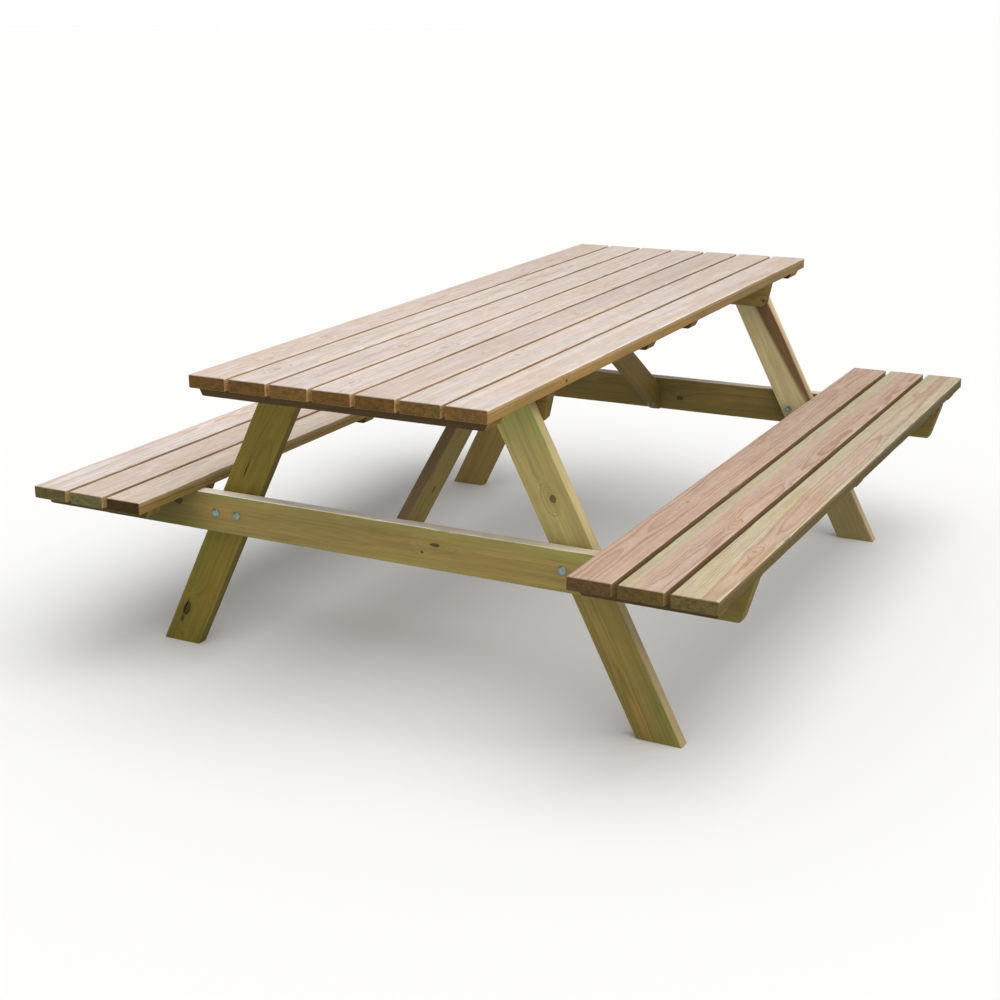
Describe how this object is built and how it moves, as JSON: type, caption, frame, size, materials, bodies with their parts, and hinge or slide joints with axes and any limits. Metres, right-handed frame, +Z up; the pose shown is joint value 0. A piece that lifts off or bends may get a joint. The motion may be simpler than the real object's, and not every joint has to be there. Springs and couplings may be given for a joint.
{
  "type": "picnic table",
  "caption": "Timber picnic table with a slatted top and two attached slatted bench seats on bolted A-frame legs with crossbeams and diagonal braces.",
  "frame": {"origin": "on the ground under the middle of the tabletop", "axes": "+X across the table towards the right-hand seat, +Y along the planks from the front end to the rear end, +Z up"},
  "size_m": [1.674, 2, 0.75],
  "materials": {
    "tabletop_timber": "planed pressure-treated pine, pale and sun-bleached",
    "seat_timber": "planed pressure-treated pine with pink heartwood and green sapwood streaks",
    "batten_timber": "planed pressure-treated pine, olive brown",
    "frame_timber": "planed pressure-treated pine, olive green",
    "screw_steel": "yellow zinc plated",
    "galvanised_steel": "dull hot-dip galvanised"
  },
  "bodies": {
    "root": {"tabletop_plank_1": "tabletop_timber", "tabletop_plank_2": "tabletop_timber", "tabletop_plank_3": "tabletop_timber", "tabletop_plank_4": "tabletop_timber", "tabletop_plank_5": "tabletop_timber", "tabletop_plank_6": "tabletop_timber", "tabletop_plank_7": "tabletop_timber", "left_seat_plank_inner": "seat_timber", "left_seat_plank_middle": "seat_timber", "left_seat_plank_outer": "seat_timber", "right_seat_plank_inner": "seat_timber", "right_seat_plank_middle": "seat_timber", "right_seat_plank_outer": "seat_timber", "tabletop_end_batten_front": "batten_timber", "tabletop_middle_batten_front": "batten_timber", "tabletop_middle_batten_rear": "batten_timber", "tabletop_end_batten_rear": "batten_timber", "left_seat_end_batten_front": "batten_timber", "left_seat_beam_batten_front": "batten_timber", "left_seat_middle_batten": "batten_timber", "left_seat_beam_batten_rear": "batten_timber", "left_seat_end_batten_rear": "batten_timber", "right_seat_end_batten_front": "batten_timber", "right_seat_beam_batten_front": "batten_timber", "right_seat_middle_batten": "batten_timber", "right_seat_beam_batten_rear": "batten_timber", "right_seat_end_batten_rear": "batten_timber", "crossbeam_front": "frame_timber", "crossbeam_rear": "frame_timber", "top_rail_front": "frame_timber", "top_rail_rear": "frame_timber", "left_leg_front": "frame_timber", "right_leg_front": "frame_timber", "left_leg_rear": "frame_timber", "right_leg_rear": "frame_timber", "diagonal_brace_front": "frame_timber", "diagonal_brace_rear": "frame_timber", "tabletop_batten_screws": "screw_steel", "seat_batten_screws": "screw_steel", "top_rail_screws": "screw_steel", "leg_head_screws": "screw_steel", "seat_to_crossbeam_screws": "screw_steel", "diagonal_brace_screws": "screw_steel", "carriage_bolts": "galvanised_steel", "carriage_bolt_washers": "galvanised_steel", "carriage_bolt_nuts": "galvanised_steel"}
  },
  "joints": []
}
